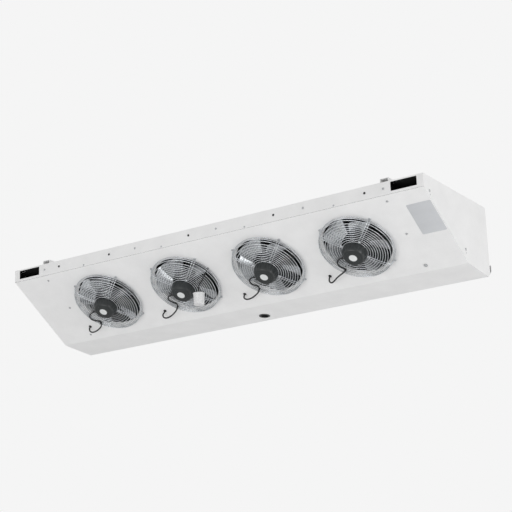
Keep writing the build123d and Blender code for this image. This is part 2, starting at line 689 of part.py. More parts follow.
cable_end = grommet_lip
cable_lead = (-75.0, cable_exit[1], cable_exit[2])
cable_drop = (grommet_right, grommet_up, 11.0)
cable_foot = (grommet_right, grommet_up, cable_end)
cable_routes = [
    [cable_exit, cable_lead, (-93, -19, 44), (-106, -32, 44), (-107, -47, 43), (-97, -58, 42),
     (-83, -63, 41), (-75, -75, 40), (-86, -92, 37), (-105, -108, 32), (-127, -120, 29), (-150, -129, 26),
     (-171, -133, 22), (-183, -127, 17), cable_drop, cable_foot],
    [cable_exit, cable_lead, (-88, -21, 44), (-91, -36, 43), (-80, -50, 42), (-69, -62, 41),
     (-77, -79, 40), (-97, -98, 36), (-125, -117, 31), (-153, -131, 27), (-176, -138, 23),
     (-192, -135, 19), (-190, -123, 15), cable_drop, cable_foot],
    [cable_exit, cable_lead, (-87, -20, 44), (-92, -34, 43), (-85, -49, 42), (-70, -60, 41),
     (-74, -77, 39.5), (-91, -94, 36), (-114, -109, 31), (-137, -121, 27), (-157, -128, 23),
     (-174, -130, 19), (-183, -124, 15), cable_drop, cable_foot],
    [cable_exit, cable_lead, (-88, -25, 44), (-92, -41, 43), (-84, -55, 42), (-72, -69, 41),
     (-91, -83, 38), (-115, -96, 32), (-138, -110, 27), (-160, -126, 24), (-177, -136, 20),
     (-186, -130, 16), cable_drop, cable_foot],
]
tie_corners = [7, 6, 6, 5]
ties = []
tie_outer = cable_diameter / 2 + 1.6
tie_inner = cable_diameter / 2 + 0.2
for index, x in enumerate(fan_x):
    route = [tuple(panel_point(x + right, up, out)) for right, up, out in cable_routes[index]]
    path, tube = cord(f"motor_cable_{index + 1}", route, cable_diameter)
    save(f"motor_cable_{index + 1}", tube)
    corner = Vector(*route[tie_corners[index]])
    steps = [step / 400 for step in range(401)]
    nearest = min(steps, key=lambda step: (path.position_at(step) - corner).length)
    band = Cylinder(tie_outer, 3.0) - Cylinder(tie_inner, 9.0)
    ties.append(path.location_at(nearest) * band)
save("cable_ties", Compound(children=ties))


def grommet(plane, neck, lip_diameter):
    """Rubber bush snapped into the panel, with a wide lip outside and a small bead inside."""
    bush = disc(plane, neck, -sheet - grommet_lip, grommet_lip)
    bush += disc(plane, lip_diameter, 0, grommet_lip)
    return bush + disc(plane, neck + 0.6, -sheet - grommet_lip, -sheet)


grommets = [grommet(panel_plane(x + grommet_right, grommet_up), grommet_neck, grommet_flange) for x in fan_x]
save("cable_grommets", Compound(children=grommets))

# ---------------------------------------------------------------- temperature probe and its cup
probe_fan = fan_x[1]
cup_rim = panel_point(probe_fan + 101.0, 10.0, 95.0)
cup_floor = 2.0
cup_base = cup_rim - Vector(0, 0, cup_height)
cup_outline = [
    (0, 0), (cup_bottom_diameter / 2, 0), (cup_top_diameter / 2, cup_height),
    (cup_top_diameter / 2 - cup_wall, cup_height), (cup_bottom_diameter / 2 - cup_wall, cup_floor),
    (0, cup_floor),
]
cup = revolve(Plane.XZ * make_face(Polyline(*cup_outline, close=True)), Axis.Z)
save("probe_cup", Pos(*cup_base) * cup)
probe_radius = probe_diameter / 2
probe_outline = [
    (0, 0), (probe_radius, 0), (probe_radius, probe_length - 14),
    (probe_cable_diameter / 2 + 0.8, probe_length), (0, probe_length),
]
probe = revolve(Plane.XZ * make_face(Polyline(*probe_outline, close=True)), Axis.Z)
probe_foot = cup_base + Vector(0, 0, cup_floor)
save("temperature_probe", Pos(*probe_foot) * probe)
probe_top = probe_foot + Vector(0, 0, probe_length)
probe_grommet_plane = panel_plane(probe_fan + probe_hole[0], probe_hole[1])
save("probe_grommet", grommet(probe_grommet_plane, probe_neck, probe_lip))
probe_route = [
    (probe_hole[0], probe_hole[1], grommet_lip), (probe_hole[0], probe_hole[1], 13.0), (132, 48, 24),
    (129, 46, 34), (122, 41, 44), (117, 34, 54),
]
probe_points = [tuple(panel_point(probe_fan + right, up, out)) for right, up, out in probe_route]
probe_points += [tuple(probe_top + Vector(0, 0, 14.0)), tuple(probe_top)]
_, probe_tube = cord("probe_cable", probe_points, probe_cable_diameter)
save("probe_cable", probe_tube)
print("probe points", [[round(part, 1) for part in point] for point in probe_points])

# ---------------------------------------------------------------- rating plate
plate_plane = panel_plane(half - plate_end, fan_down - plate_down)
save("rating_plate", plate_plane * Pos(0, 0, 0.3) * Box(plate_width, plate_height, 0.6))

# ---------------------------------------------------------------- fasteners
save("strip_screws", Compound(children=[screw(plane) for plane in strip_planes]))
save("fold_screws", Compound(children=[screw(plane, head=6.0, height=1.6) for plane in fold_planes]))
save("panel_screws", Compound(children=[screw(plane) for plane in panel_screw_planes]))
save("cover_screws", Compound(children=[screw(plane, depth=7.0) for plane in cover_planes]))
guard_screws = [
    screw(panel_plane(x + right, up, guard_wire), head=6.4) for x in fan_x for right, up in guard_feet
]
save("guard_screws", Compound(children=guard_screws))
motor_screws = []
nut_depth = 4.0
ear_top = motor_seat + motor_ear_thickness
arm_under = guard_level(ear_spot) - guard_wire / 2 - 0.8
for x in fan_x:
    for quarter in range(4):
        place = panel_plane(x) * Rot(0, 0, 45 + 90 * quarter) * Pos(ear_spot, 0, 0)
        shank_low = arm_under - nut_depth
        bolt = Pos(0, 0, ear_top + 1.5) * Cylinder(3.4, 3.0)
        bolt += Pos(0, 0, (ear_top + shank_low) / 2) * Cylinder(2.0, ear_top - shank_low)
        bolt += Pos(0, 0, shank_low) * extrude(RegularPolygon(6.5, 6), nut_depth)
        motor_screws.append(place * bolt)
save("motor_screws", Compound(children=motor_screws))
bolt_head = extrude(RegularPolygon(6.0, 6), 4.0) + Pos(0, 0, -3.0) * Cylinder(screw_shank / 2, 6.0)
save("rail_bolts", Compound(children=[plane * bolt_head for plane in rail_bolt_planes]))
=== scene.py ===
# %% [markdown]
# # Dressing a ceiling-hung unit cooler
# The cooler hangs under the ceiling of a cold room. Four fans draw air through a sloped white
# panel and push it through a finned coil behind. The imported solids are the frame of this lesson:
# sheet-metal parts keep their solids and get a finish, while wire, blades, cables and other
# curved parts are made again here as finer surfaces in the same place.

# %% Load the frame
import json
from math import cos, pi, radians, sin

import bpy
import numpy as np
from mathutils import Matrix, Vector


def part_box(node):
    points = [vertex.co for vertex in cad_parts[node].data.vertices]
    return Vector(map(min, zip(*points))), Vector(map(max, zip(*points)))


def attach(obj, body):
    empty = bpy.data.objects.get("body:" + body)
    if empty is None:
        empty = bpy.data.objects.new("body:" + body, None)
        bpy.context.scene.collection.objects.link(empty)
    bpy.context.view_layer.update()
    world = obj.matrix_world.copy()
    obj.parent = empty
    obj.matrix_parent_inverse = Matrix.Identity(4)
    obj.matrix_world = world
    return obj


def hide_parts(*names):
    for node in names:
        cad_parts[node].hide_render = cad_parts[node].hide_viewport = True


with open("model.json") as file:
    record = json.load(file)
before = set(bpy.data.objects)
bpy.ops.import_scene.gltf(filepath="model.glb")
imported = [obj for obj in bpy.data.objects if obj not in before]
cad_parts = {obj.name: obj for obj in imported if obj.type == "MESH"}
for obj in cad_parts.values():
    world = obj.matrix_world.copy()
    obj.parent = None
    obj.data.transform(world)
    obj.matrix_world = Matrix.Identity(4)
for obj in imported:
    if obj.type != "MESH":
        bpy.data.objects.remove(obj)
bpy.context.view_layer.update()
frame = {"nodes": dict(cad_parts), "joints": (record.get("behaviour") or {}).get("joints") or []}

mm = 0.001

# %% [markdown]
# ## The fans' own directions
# Every fan sits square to the sloped panel. Its joint gives the centre and the axis, so a point
# on a fan is told in millimetres to the right, up the slope and out of the panel's face.

# %% Fan places
fan_joints = sorted(frame["joints"], key=lambda joint: joint["name"])
fan_bodies = [joint["child"] for joint in fan_joints]
fan_centres = [np.array(joint["pos_m"]) for joint in fan_joints]
out_way = np.array(fan_joints[0]["axis"])
right_way = np.array([1.0, 0.0, 0.0])
up_way = np.cross(out_way, right_way)
panel_axes = np.array([right_way, up_way, out_way])


def on_panel(points, centre):
    """World place of points told in mm: the fan's centre plus each part times its own way."""
    return np.asarray(centre) + np.asarray(points, float) @ panel_axes * mm


fan_pitch = (fan_centres[1] - fan_centres[0])[0] / mm
print("fans", len(fan_centres), "pitch", round(fan_pitch, 1), "mm")

# %% [markdown]
# ## Making surfaces from arrays
# A lathe, a bent wire and a blade are all the same kind of thing: rows of points whose columns
# close on themselves. One function joins such rows into faces, and another puts several of these
# skins into one object. The alternative, primitive meshes with modifiers, would leave many live
# modifiers and no formula to read.

# %% Skins and pieces
def skin(points, ring=False):
    """Faces between neighbouring rows and columns of a grid whose columns close.
    With ring the rows close too; without it the first and last rows get a flat cap."""
    rows, columns = points.shape[:2]
    row = np.arange(rows if ring else rows - 1)[:, None]
    column = np.arange(columns)[None, :]
    next_row, next_column = (row + 1) % rows, (column + 1) % columns
    corners = (
        row * columns + column, row * columns + next_column,
        next_row * columns + next_column, next_row * columns + column,
    )
    faces = np.stack(np.broadcast_arrays(*corners), -1).reshape(-1, 4).tolist()
    if not ring:
        first = list(range(columns))
        faces += [first[::-1], [(rows - 1) * columns + index for index in first]]
    return points.reshape(-1, 3), faces


def piece(name, skins, material, body="cabinet", replaces=(), smooth_angle=40.0):
    """One object from several skins, riding on a body and standing for the solids it replaces."""
    points, faces, start = [], [], 0
    for skin_points, skin_faces in skins:
        points.append(skin_points)
        faces += [[start + index for index in face] for face in skin_faces]
        start += len(skin_points)
    mesh = bpy.data.meshes.new(name)
    mesh.from_pydata(np.concatenate(points).tolist(), [], faces)
    mesh.materials.append(material)
    mesh.shade_smooth()
    mesh.set_sharp_from_angle(angle=radians(smooth_angle))
    made = bpy.data.objects.new(name, mesh)
    bpy.context.scene.collection.objects.link(made)
    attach(made, body)
    if replaces:
        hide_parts(*replaces)
    return made


def turned(profile, sides=48):
    """A profile of (radius, height) turned round the height axis: radius times the cosine and
    sine of the angle, and the height."""
    profile = np.asarray(profile, float)
    angle = np.linspace(0, 2 * pi, sides, endpoint=False)
    radius, height = profile[:, :1], profile[:, 1:]
    flat = np.ones_like(angle)
    return np.stack([radius * np.cos(angle), radius * np.sin(angle), height * flat], -1)


def wire(path, radius, sides=8, ring=False, reference=(0, 0, 1)):
    """A round wire along a path: at each point a circle square to the path's direction, started
    from the part of the reference direction that is square to it."""
    path = np.asarray(path, float)
    if ring:
        along = np.roll(path, -1, 0) - np.roll(path, 1, 0)
    else:
        along = np.gradient(path, axis=0)
    along /= np.linalg.norm(along, axis=1, keepdims=True)
    side = np.asarray(reference, float) - (along @ np.asarray(reference, float))[:, None] * along
    side /= np.linalg.norm(side, axis=1, keepdims=True)
    other = np.cross(along, side)
    angle = np.linspace(0, 2 * pi, sides, endpoint=False)
    reach = np.asarray(radius, float).reshape(-1, 1, 1)
    circle = side[:, None] * np.cos(angle)[:, None] + other[:, None] * np.sin(angle)[:, None]
    return path[:, None] + reach * circle


def spun(points, turn):
    """Points turned about the fan's axis by an angle in radians."""
    matrix = np.array([[cos(turn), sin(turn), 0], [-sin(turn), cos(turn), 0], [0, 0, 1]])
    return np.asarray(points) @ matrix


print("surface helpers ready")

# %% [markdown]
# ## Finishes
# Each finish is a Principled shader fed by a few nodes. Colours are written as sRGB hex, the way
# a paint chart gives them, and turned to linear by one function. Grain sizes are real, in
# millimetres, on Object coordinates, which stay with the piece when a fan turns.

# %% Colour and node helpers
def linear(code):
    """Linear colour of an sRGB hex code: each channel over 12.92, or its shifted 2.4th power."""
    channels = np.array([int(code[index:index + 2], 16) for index in (1, 3, 5)]) / 255
    low, high = channels / 12.92, ((channels + 0.055) / 1.055) ** 2.4
    return (*np.where(channels <= 0.04045, low, high).tolist(), 1.0)


def add(tree, kind, inputs=(), **settings):
    """Adds one node, sets its properties, and gives each named input a value or a link."""
    node = tree.nodes.new(kind)
    for name, value in settings.items():
        setattr(node, name, value)
    for name, value in inputs:
        if isinstance(value, bpy.types.NodeSocket):
            tree.links.new(value, node.inputs[name])
        else:
            node.inputs[name].default_value = value
    return node


def grained(name, light, dark, grain, roughness, relief=0.01, metallic=0.0, stretch=(1, 1, 1),
            patch=90.0, extra=()):
    """A finish with two tones, a grain in mm and a relief in mm. Broad noise of the patch size
    moves the tone, and fine noise moves the roughness and the relief."""
    material = bpy.data.materials.new(name)
    material.use_nodes = True
    tree = material.node_tree
    tree.nodes.clear()
    place = add(tree, "ShaderNodeTexCoord").outputs["Object"]
    spread = add(tree, "ShaderNodeMapping", [("Vector", place), ("Scale", stretch)]).outputs[0]
    broad = add(tree, "ShaderNodeTexNoise", [
        ("Vector", spread), ("Scale", 1 / (patch * mm)), ("Detail", 3.0), ("Roughness", 0.6)])
    fine = add(tree, "ShaderNodeTexNoise", [
        ("Vector", spread), ("Scale", 1 / (grain * mm)), ("Detail", 2.0)])
    both = add(tree, "ShaderNodeMix", [
        ("Factor", 0.35), ("A", broad.outputs[0]), ("B", fine.outputs[0])])
    tone = add(tree, "ShaderNodeValToRGB", [("Fac", both.outputs[0])])
    tone.color_ramp.elements[0].position, tone.color_ramp.elements[0].color = 0.35, linear(dark)
    tone.color_ramp.elements[1].position, tone.color_ramp.elements[1].color = 0.65, linear(light)
    gloss = add(tree, "ShaderNodeMapRange", [
        ("Value", fine.outputs[0]), ("From Min", 0.3), ("From Max", 0.7),
        ("To Min", roughness[0]), ("To Max", roughness[1])])
    bump = add(tree, "ShaderNodeBump", [
        ("Height", fine.outputs[0]), ("Distance", relief * mm), ("Strength", 1.0)])
    shader = add(tree, "ShaderNodeBsdfPrincipled", [
        ("Base Color", tone.outputs[0]), ("Roughness", gloss.outputs[0]),
        ("Normal", bump.outputs[0]), ("Metallic", metallic), *extra])
    add(tree, "ShaderNodeOutputMaterial", [("Surface", shader.outputs[0])])
    return material


def mix_colour(material, share, colour):
    """Mixes a plain colour over a finish's base colour by a share that varies over the piece."""
    tree = material.node_tree
    shader = next(node for node in tree.nodes if node.type == "BSDF_PRINCIPLED")
    before = shader.inputs["Base Color"].links[0].from_socket
    mix = add(tree, "ShaderNodeMix", [
        (0, share), (6, before), (7, linear(colour))], data_type="RGBA")
    tree.links.new(mix.outputs[2], shader.inputs["Base Color"])


def dress(material, *nodes):
    """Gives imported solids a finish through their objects' own material slots."""
    for name in nodes:
        for holder in frame["nodes"][name].material_slots:
            holder.material = material


print("mid grey, linear", [round(part, 3) for part in linear("#808080")])

# %% [markdown]
# ### White powder coat
# The casing is galvanised sheet sprayed with dry polyester powder and baked. The powder flows
# into a film with a faint orange-peel swell about 2 mm across, so its highlights are broad and
# soft. A plain colour would look like paper; the shallow relief gives the film its body.

# %% Powder coat and bare sheet
# The second copy of this coat gets near-black painted shade on its inner faces.
powder_coat, casing_coat = [
    grained(name, "#ECECEC", "#E5E5E5", 2.2, (0.36, 0.46), 0.012,
            extra=[("IOR", 1.5), ("Coat Weight", 0.08), ("Coat Roughness", 0.2)])
    for name in ("white polyester powder coat", "white powder coat with painted shade inside")]
dress(powder_coat, "hanging_rail_left", "hanging_rail_right")
dress(casing_coat, "top_casing", "front_strip", "fan_panel_tray", "tray_ends", "end_cover_left",
      "end_cover_right")
print("white sheet metal dressed")

# %% [markdown]
# ### Painted shade inside
# The inner faces of the casing are coloured near black as painted shade, so the windows and the
# fan mouths read as black. A face is inside where its normal points towards the middle line of
# the casing, so one shader can hold both the white coat and the painted shade. Painting the
# faces one by one would be the alternative, but the solids' meshes stay as they are. The
# partitions and the baffles between the fans are coloured black on both sides as painted shade.

# %% Painted inside shade
inside_shade_roughness = 0.92


def paint_inside_shade(material, middle_height, half_length, rear_edge, dark):
    """Mixes a near-black painted shade over the finish where the normal times the way to the middle
    line is positive. That line runs along the casing and stops short of the end covers. Behind
    the rear edge nothing is shaded, so the tray's back lip stays white."""
    tree = material.node_tree
    shader = next(node for node in tree.nodes if node.type == "BSDF_PRINCIPLED")
    facts = add(tree, "ShaderNodeTexCoord")
    place = facts.outputs["Object"]
    past = add(tree, "ShaderNodeVectorMath", [(0, place), (1, (-half_length, 0, middle_height))],
               operation="MAXIMUM")
    line = add(tree, "ShaderNodeVectorMath", [
        (0, past.outputs[0]), (1, (half_length, 0, middle_height))], operation="MINIMUM")
    inward = add(tree, "ShaderNodeVectorMath", [(0, line.outputs[0]), (1, place)],
                 operation="SUBTRACT")
    facing = add(tree, "ShaderNodeVectorMath", [
        (0, facts.outputs["Normal"]), (1, inward.outputs[0])], operation="DOT_PRODUCT")
    towards = add(tree, "ShaderNodeMath", [(0, facing.outputs["Value"]), (1, 0.02)],
                  operation="GREATER_THAN")
    parts = add(tree, "ShaderNodeSeparateXYZ", [("Vector", place)])
    before_edge = add(tree, "ShaderNodeMath", [(0, parts.outputs["Y"]), (1, rear_edge)],
                      operation="LESS_THAN")
    inside = add(tree, "ShaderNodeMath", [(0, towards.outputs[0]), (1, before_edge.outputs[0])],
                 operation="MULTIPLY")
    # Near-black painted shade on the faces that look inwards.
    mix_colour(material, inside.outputs[0], dark)
    gloss = shader.inputs["Roughness"]
    matt = add(tree, "ShaderNodeMix", [
        (0, inside.outputs[0]), (2, gloss.links[0].from_socket), (3, inside_shade_roughness)])
    tree.links.new(matt.outputs[0], gloss)


# Painted shade: the casing's inner faces go near black, and the partitions and baffles are black
# all over.
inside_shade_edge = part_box("end_cover_right")[1][1] - 3 * mm
paint_inside_shade(casing_coat, middle_height=-0.14, half_length=0.9, rear_edge=inside_shade_edge,
            dark="#141516")
inside_shade_black = grained("black painted inside shade", "#161718", "#0F1010", 1.6, (0.85, 0.95), 0.03)
dress(inside_shade_black, "partition_left", "partition_right", "fan_baffle_1", "fan_baffle_2", "fan_baffle_3")
print("painted shade up to", round(inside_shade_edge / mm, 1), "mm behind the middle")

# %% [markdown]
# ### Metals
# Fin stock and blades are rolled aluminium. The fins are coloured darker as painted shade inside
# the coil, and the blades' broad light and dark patches are painted reflections. The wheel is
# coloured near black within 57 mm of its axis; each point of the wheel carries its distance from
# it.
# The tubes are drawn copper, dulled in brown patches. The distributor is turned brass. Heater
# sheaths are stainless tube, darkened by heat. Wire and screws are zinc plated. The rating
# plate's foil is anodised to a satin face, whose own layer hides most of the metal's shine.

# %% Metals
# The fin tones are darker than bare aluminium: painted shade inside the coil.
fin_stock = grained("fin stock darkened as painted shade", "#878B8E", "#6E7275", 1.2, (0.28, 0.4), 0.006,
                    metallic=1.0, stretch=(1, 1, 0.05))
# Its broad light and dark patches, 85 mm across, are painted reflections.
blade_sheet = grained("bright rolled aluminium sheet", "#E0E3E6", "#3C3F42", 0.8, (0.1, 0.2), 0.004,
                      metallic=1.0, stretch=(0.6, 1, 1), patch=85.0)
blade_tree = blade_sheet.node_tree
blade_reach = add(blade_tree, "ShaderNodeAttribute", attribute_name="reach")
# The wheel is coloured near black within 57 mm of its axis.
dark_core_radius, dark_core_blur = 57.0, 1.0
dark_core = add(blade_tree, "ShaderNodeMapRange", [
    ("Value", blade_reach.outputs["Fac"]), ("From Min", dark_core_radius - dark_core_blur),
    ("From Max", dark_core_radius + dark_core_blur), ("To Min", 1.0), ("To Max", 0.0)])
mix_colour(blade_sheet, dark_core.outputs[0], "#16191A")
copper = grained("drawn copper tube", "#C98A66", "#A5684A", 2.0, (0.28, 0.42), 0.006, metallic=1.0)
brass = grained("turned brass", "#C9AD6C", "#B3955A", 0.7, (0.24, 0.34), 0.006, metallic=1.0)
sheath = grained("heat-dulled stainless sheath", "#8C8984", "#6F6B67", 1.5, (0.34, 0.5), 0.006,
                 metallic=1.0)
plated_wire = grained("bright zinc-plated wire", "#DEE1E4", "#C6C9CC", 1.5, (0.2, 0.32), 0.004,
                      metallic=1.0, patch=25.0)
plated_screw = grained("zinc-plated screw steel", "#C6C8C9", "#A4A6A8", 0.9, (0.24, 0.36), 0.008,
                       metallic=1.0, patch=12.0)
foil_plate = grained("satin anodised foil plate", "#CFD1D4", "#C6C8CB", 0.9, (0.38, 0.48), 0.004,
                     metallic=0.15, stretch=(0.05, 1, 1))
dress(copper, "coil_tubes", "suction_header", "feeder_tubes", "liquid_line")
dress(brass, "distributor")
dress(sheath, "coil_heater", "tray_heater")
dress(plated_screw, "rail_bolts")

# %% [markdown]
# ### Plastics, rubber and enamel
# The terminal box is spark-textured grey ABS. Glands, drain bush and ties are nylon, which is
# smoother. Rubber is matt. The probe's cup is thin polypropylene and lets a quarter of the light
# through. The motors are die-cast housings under black baked enamel: the casting skin shows
# through as a 1 mm pebble.

# %% Plastics and enamel
grey_abs = grained("spark-textured grey ABS", "#A6A9AB", "#9C9FA1", 1.0, (0.5, 0.62), 0.02)
nylon = grained("black moulded nylon", "#232425", "#191A1B", 1.2, (0.36, 0.48), 0.01)
rubber = grained("soft black rubber", "#1E1E1F", "#151516", 1.0, (0.62, 0.75), 0.015)
jacket = grained("black PVC cable jacket", "#1D1F20", "#131415", 1.4, (0.36, 0.5), 0.012,
                 patch=20.0)
cup_plastic = grained("thin white polypropylene", "#F0F0F0", "#E8E9EA", 1.6, (0.24, 0.34), 0.008,
                      extra=[("Transmission Weight", 0.25)])
enamel = grained("black baked enamel", "#181F20", "#101516", 1.1, (0.3, 0.44), 0.03,
                 extra=[("Coat Weight", 0.15), ("Coat Roughness", 0.25)])
label_film = grained("blank white vinyl label", "#DEE0E0", "#D2D4D4", 1.4, (0.4, 0.5), 0.005)
dress(grey_abs, "terminal_box", "terminal_box_lid", "terminal_block")
dress(nylon, "cable_glands", "drain_bush", "drain_nut")
dress(rubber, "probe_grommet")
print("finishes", len(bpy.data.materials))

# %% [markdown]
# ## Camera
# The camera stands low and to the right, looking up at the unit, with a long lens. Its azimuth,
# height and roll give three directions: right, up and back.

# %% Camera
camera_data = bpy.data.cameras.new("camera")
camera = bpy.data.objects.new("camera", camera_data)
bpy.context.scene.collection.objects.link(camera)
bpy.context.scene.camera = camera
camera_place = np.array([3.22997, -4.86284, -1.83763])
camera_azimuth, camera_height, camera_roll = radians(32.9437), radians(-16.7319), radians(-2.093)
camera_data.sensor_width = 36.0
camera_data.lens = 108.682
camera_data.clip_end = 60.0
back_way = np.array([
    sin(camera_azimuth) * cos(camera_height), -cos(camera_azimuth) * cos(camera_height),
    sin(camera_height),
])
level_right = np.cross([0, 0, 1.0], back_way)
level_right /= np.linalg.norm(level_right)
level_up = np.cross(back_way, level_right)
camera_right = level_right * cos(camera_roll) + level_up * sin(camera_roll)
camera_up = np.cross(back_way, camera_right)
camera_matrix = np.eye(4)
camera_matrix[:3, :3] = np.stack([camera_right, camera_up, back_way], 1)
camera_matrix[:3, 3] = camera_place
camera.matrix_world = camera_matrix.T.tolist()
print("camera", camera_place.tolist(), "lens", camera_data.lens)

# %% [markdown]
# ## Cables
# Each motor has its own 6 mm cable. It leaves the housing straight, drops into a slack bow over
# the guard, is tied to the guard's wire, and runs down to a rubber bush in the panel. A cable is
# one smooth line, so it is a NURBS curve with a round bevel, on the same points as the solids.

# %% Cable routes
cable_diameter = 6.0
cable_start = (-60, -12, 42.25)
cable_lead = (-75, -12, 42.25)
cable_drop = (-180, -117, 11)
cable_foot = (-180, -117, 2)
cable_middles = [
    [(-93, -19, 44), (-106, -32, 44), (-107, -47, 43), (-97, -58, 42), (-83, -63, 41),
     (-75, -75, 40), (-86, -92, 37), (-105, -108, 32), (-127, -120, 29), (-150, -129, 26),
     (-171, -133, 22), (-183, -127, 17)],
    [(-88, -21, 44), (-91, -36, 43), (-80, -50, 42), (-69, -62, 41), (-77, -79, 40), (-97, -98, 36),
     (-125, -117, 31), (-153, -131, 27), (-176, -138, 23), (-192, -135, 19), (-190, -123, 15)],
    [(-87, -20, 44), (-92, -34, 43), (-85, -49, 42), (-70, -60, 41), (-74, -77, 39.5),
     (-91, -94, 36), (-114, -109, 31), (-137, -121, 27), (-157, -128, 23), (-174, -130, 19),
     (-183, -124, 15)],
    [(-88, -25, 44), (-92, -41, 43), (-84, -55, 42), (-72, -69, 41), (-91, -83, 38),
     (-115, -96, 32), (-138, -110, 27), (-160, -126, 24), (-177, -136, 20), (-186, -130, 16)],
]
tie_corners = [7, 6, 6, 5]
probe_route = [
    (131.5, 46.5, 2), (131.5, 46.5, 13), (132, 48, 24), (129, 46, 34), (122, 41, 44), (117, 34, 54),
]


def cable(name, points, diameter, replaces):
    """A NURBS curve of third order through the route's points as its controls, with a round bevel.
    The points carry the radius and the bevel is one, so the curve's box is its real one."""
    curve = bpy.data.curves.new(name, "CURVE")
    curve.dimensions = "3D"
    line = curve.splines.new("NURBS")
    line.points.add(len(points) - 1)
    line.points.foreach_set("co", np.c_[points, np.ones(len(points))].ravel())
    line.points.foreach_set("radius", np.full(len(points), diameter / 2 * mm))
    line.order_u = 3
    line.use_endpoint_u = True
    line.resolution_u = 10
    curve.bevel_depth = 1.0
    curve.bevel_resolution = 5
    curve.use_fill_caps = True
    curve.materials.append(jacket)
    made = bpy.data.objects.new(name, curve)
    bpy.context.scene.collection.objects.link(made)
    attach(made, "cabinet")
    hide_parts(replaces)
    return made


def centreline(made):
    """Points of a curve's own line, read from the curve without its bevel."""
    depth = made.data.bevel_depth
    made.data.bevel_depth = 0
    bpy.context.view_layer.update()
    evaluated = made.evaluated_get(bpy.context.evaluated_depsgraph_get())
    mesh = bpy.data.meshes.new_from_object(evaluated)
    points = np.zeros(len(mesh.vertices) * 3)
    mesh.vertices.foreach_get("co", points)
    bpy.data.meshes.remove(mesh)
    made.data.bevel_depth = depth
    return points.reshape(-1, 3)


cable_controls = [
    on_panel([cable_start, cable_lead, *middle, cable_drop, cable_foot], centre)
    for middle, centre in zip(cable_middles, fan_centres)
]
motor_cables = [
    cable(f"motor_cable_line_{index + 1}", points, cable_diameter, f"motor_cable_{index + 1}")
    for index, points in enumerate(cable_controls)
]

# %% [markdown]
# ## Cable ties
# A nylon tie holds each cable to the guard. It is a flat band with a ratchet head and a cut-off
# tail. Its place is found on the cable's own line, at the point nearest to the route's corner.

# %% Ties
tie_width, tie_thickness = 3.2, 1.1
head_size = np.array([5.2, 4.4, 3.6])


def frame_at(points, corner):
    """Place and three directions of a line where it passes a corner: along it, and across it."""
    nearest = int(np.argmin(np.linalg.norm(points - corner, axis=1)))
    nearest = min(max(nearest, 1), len(points) - 2)
    along = points[nearest + 1] - points[nearest - 1]
    along /= np.linalg.norm(along)
    across = np.cross(along, out_way)
    across /= np.linalg.norm(across)
    return points[nearest], np.array([along, across, np.cross(along, across)])


def rounded_bar(size, power=6.0, sides=24, rows=8):
    """A block with soft edges: a superellipse outline whose size falls off at both ends as a
    superellipse too."""
    angle = np.linspace(0, 2 * pi, sides, endpoint=False)
    cosine, sine = np.cos(angle), np.sin(angle)
    outline_x = np.sign(cosine) * np.abs(cosine) ** (2 / power)
    outline_y = np.sign(sine) * np.abs(sine) ** (2 / power)
    height = np.sin(np.linspace(-pi / 2, pi / 2, rows + 2)[1:-1])
    height = np.sign(height) * np.abs(height) ** (2 / power)
    width = (1 - np.abs(height) ** power) ** (1 / power)
    grid = np.stack([
        width[:, None] * outline_x, width[:, None] * outline_y, height[:, None] * np.ones(sides),
    ], -1)
    return grid * np.asarray(size) / 2


def tie(name, line_points, corner, diameter):
    """A flat band round the cable with a head beside it and a short tail through the head."""
    centre, ways = frame_at(line_points, corner)
    low, high = diameter / 2 + 0.05, diameter / 2 + tie_thickness
    band_profile = [(low, -tie_width / 2), (high, -tie_width / 2), (high, tie_width / 2),
                    (low, tie_width / 2)]
    band = turned(band_profile, 40).transpose(1, 0, 2)[::-1]
    reorder = np.array([[0, 1, 0], [0, 0, 1], [1, 0, 0]])
    band = band @ reorder
    head = rounded_bar(head_size) + np.array([0, 0, -(high + 1.0)])
    tail = rounded_bar((2.6, 1.0, 9.0)) + np.array([0, 1.9, -(high + 3.4)])
    skins = [skin(grid @ ways * mm + centre, ring)
             for grid, ring in ((band, True), (head, False), (tail, False))]
    return piece(name, skins, nylon, replaces=("cable_ties",))


cable_ties = []
for index, made in enumerate(motor_cables):
    controls = cable_controls[index]
    held = tie(f"cable_tie_{index + 1}", centreline(made), controls[tie_corners[index]],
               cable_diameter)
    cable_ties.append(held)
bush_profile = [(3.1, -3.0), (5.4, -3.0), (5.4, -1.0), (6.4, 0.0), (6.6, 0.6), (6.2, 1.3),
                (4.8, 1.9), (3.3, 2.1)]
bush_place = [cable_foot[0], cable_foot[1], 0]
bushes = [skin(on_panel(turned(bush_profile, 32) + bush_place, centre)) for centre in fan_centres]
piece("cable_bushes", bushes, rubber, replaces=("cable_grommets",))

# %% [markdown]
# ## The probe and its cup
# A temperature probe hangs beside the second fan, its tip in a thin white cup. The cup is a
# turned wall with a rolled rim. The probe is a black sleeve with a round tip and a tapered
# boot, and its 5 mm cable comes out of a bush in the panel.

# %% Probe and cup
probe_cable_diameter = 5.0
cup_low, cup_high = [np.array(corner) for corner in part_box("probe_cup")]
cup_foot = np.array([(cup_low[0] + cup_high[0]) / 2, (cup_low[1] + cup_high[1]) / 2, cup_low[2]])
cup_height = (cup_high[2] - cup_low[2]) / mm
cup_rim_radius, cup_base_radius = 23.5, 20.5
cup_wall, cup_floor = 1.2, 2.0
rim_roll = 1.1
rim_turn = np.linspace(-0.5 * pi, 1.1 * pi, 9)
rim = np.c_[cup_rim_radius - rim_roll + rim_roll * np.cos(rim_turn),
            cup_height - rim_roll + rim_roll * np.sin(rim_turn)]
cup_profile = np.concatenate([
    [(cup_base_radius - 2.0, 0.6), (cup_base_radius - 1.2, 0), (cup_base_radius - 0.3, 0.3),
     (cup_base_radius, 1.2), (cup_rim_radius - 1.6, cup_height - 3.0)],
    rim,
    [(cup_base_radius - cup_wall + 0.3, cup_floor + 1.5),
     (cup_base_radius - cup_wall - 1.2, cup_floor)],
])
